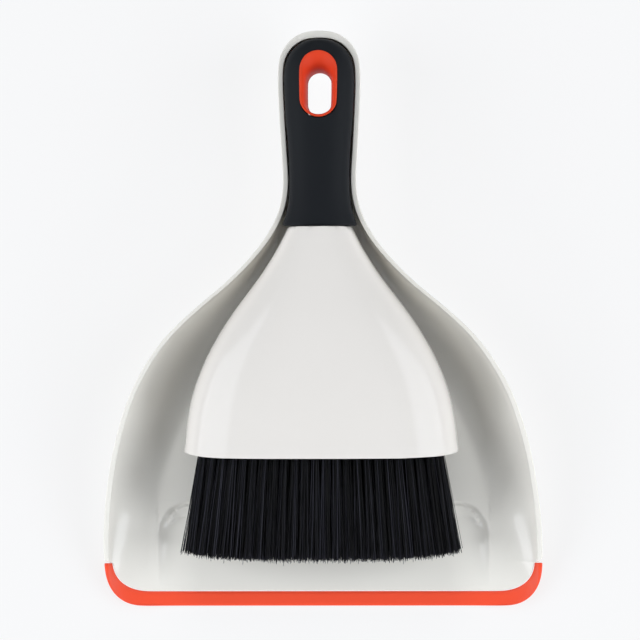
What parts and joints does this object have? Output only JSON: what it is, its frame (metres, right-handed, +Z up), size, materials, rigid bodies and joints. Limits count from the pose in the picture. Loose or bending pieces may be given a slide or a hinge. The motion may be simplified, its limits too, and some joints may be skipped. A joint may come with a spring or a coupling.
{
  "type": "dust pan and brush set",
  "caption": "Dust pan with a soft front lip and an open channel handle, holding a lift-out hand brush with a hooded tuft head and a rubber grip.",
  "frame": {"origin": "under the middle of the set's length and width, on the floor that it lies on", "axes": "+Z up, +Y from the lip to the end of the handle, +X to the right; the set is symmetrical about X = 0"},
  "size_m": [0.2528, 0.3302, 0.0648],
  "materials": {
    "pan_white": "satin moulded polypropylene",
    "lip_orange": "satin soft rubber",
    "hood_white": "glossy moulded plastic",
    "core_black": "matt moulded polypropylene",
    "grip_charcoal": "matt soft rubber",
    "eyelet_orange": "satin soft rubber",
    "bristle_black": "drawn polyester filament"
  },
  "bodies": {
    "pan": {"pan_body": "pan_white", "pan_lip": "lip_orange"},
    "brush": {"brush_hood": "hood_white", "brush_core": "core_black", "brush_grip": "grip_charcoal", "brush_eyelet": "eyelet_orange", "tuft_middle_row": "bristle_black", "tuft_under_01": "bristle_black", "tuft_under_02": "bristle_black", "tuft_under_03": "bristle_black", "tuft_under_04": "bristle_black", "tuft_under_05": "bristle_black", "tuft_under_06": "bristle_black", "tuft_under_07": "bristle_black", "tuft_under_08": "bristle_black", "tuft_under_09": "bristle_black", "tuft_under_10": "bristle_black", "tuft_under_11": "bristle_black", "tuft_under_12": "bristle_black", "tuft_under_13": "bristle_black", "tuft_under_14": "bristle_black", "tuft_under_15": "bristle_black", "tuft_under_16": "bristle_black", "tuft_under_17": "bristle_black", "tuft_under_18": "bristle_black", "tuft_under_19": "bristle_black", "tuft_under_20": "bristle_black", "tuft_under_21": "bristle_black", "tuft_under_22": "bristle_black", "tuft_under_23": "bristle_black", "tuft_under_24": "bristle_black", "tuft_top_01": "bristle_black", "tuft_top_02": "bristle_black", "tuft_top_03": "bristle_black", "tuft_top_04": "bristle_black", "tuft_top_05": "bristle_black", "tuft_top_06": "bristle_black", "tuft_top_07": "bristle_black", "tuft_top_08": "bristle_black", "tuft_top_09": "bristle_black", "tuft_top_10": "bristle_black", "tuft_top_11": "bristle_black", "tuft_top_12": "bristle_black", "tuft_top_13": "bristle_black", "tuft_top_14": "bristle_black", "tuft_top_15": "bristle_black", "tuft_top_16": "bristle_black", "tuft_top_17": "bristle_black", "tuft_top_18": "bristle_black", "tuft_top_19": "bristle_black", "tuft_top_20": "bristle_black", "tuft_top_21": "bristle_black", "tuft_top_22": "bristle_black", "tuft_top_23": "bristle_black", "tuft_top_24": "bristle_black"}
  },
  "joints": [
    {"name": "brush_lift", "type": "slide", "parent": "pan", "child": "brush", "axis": [0, 0, 1], "range_m": [0, 0.1]}
  ]
}
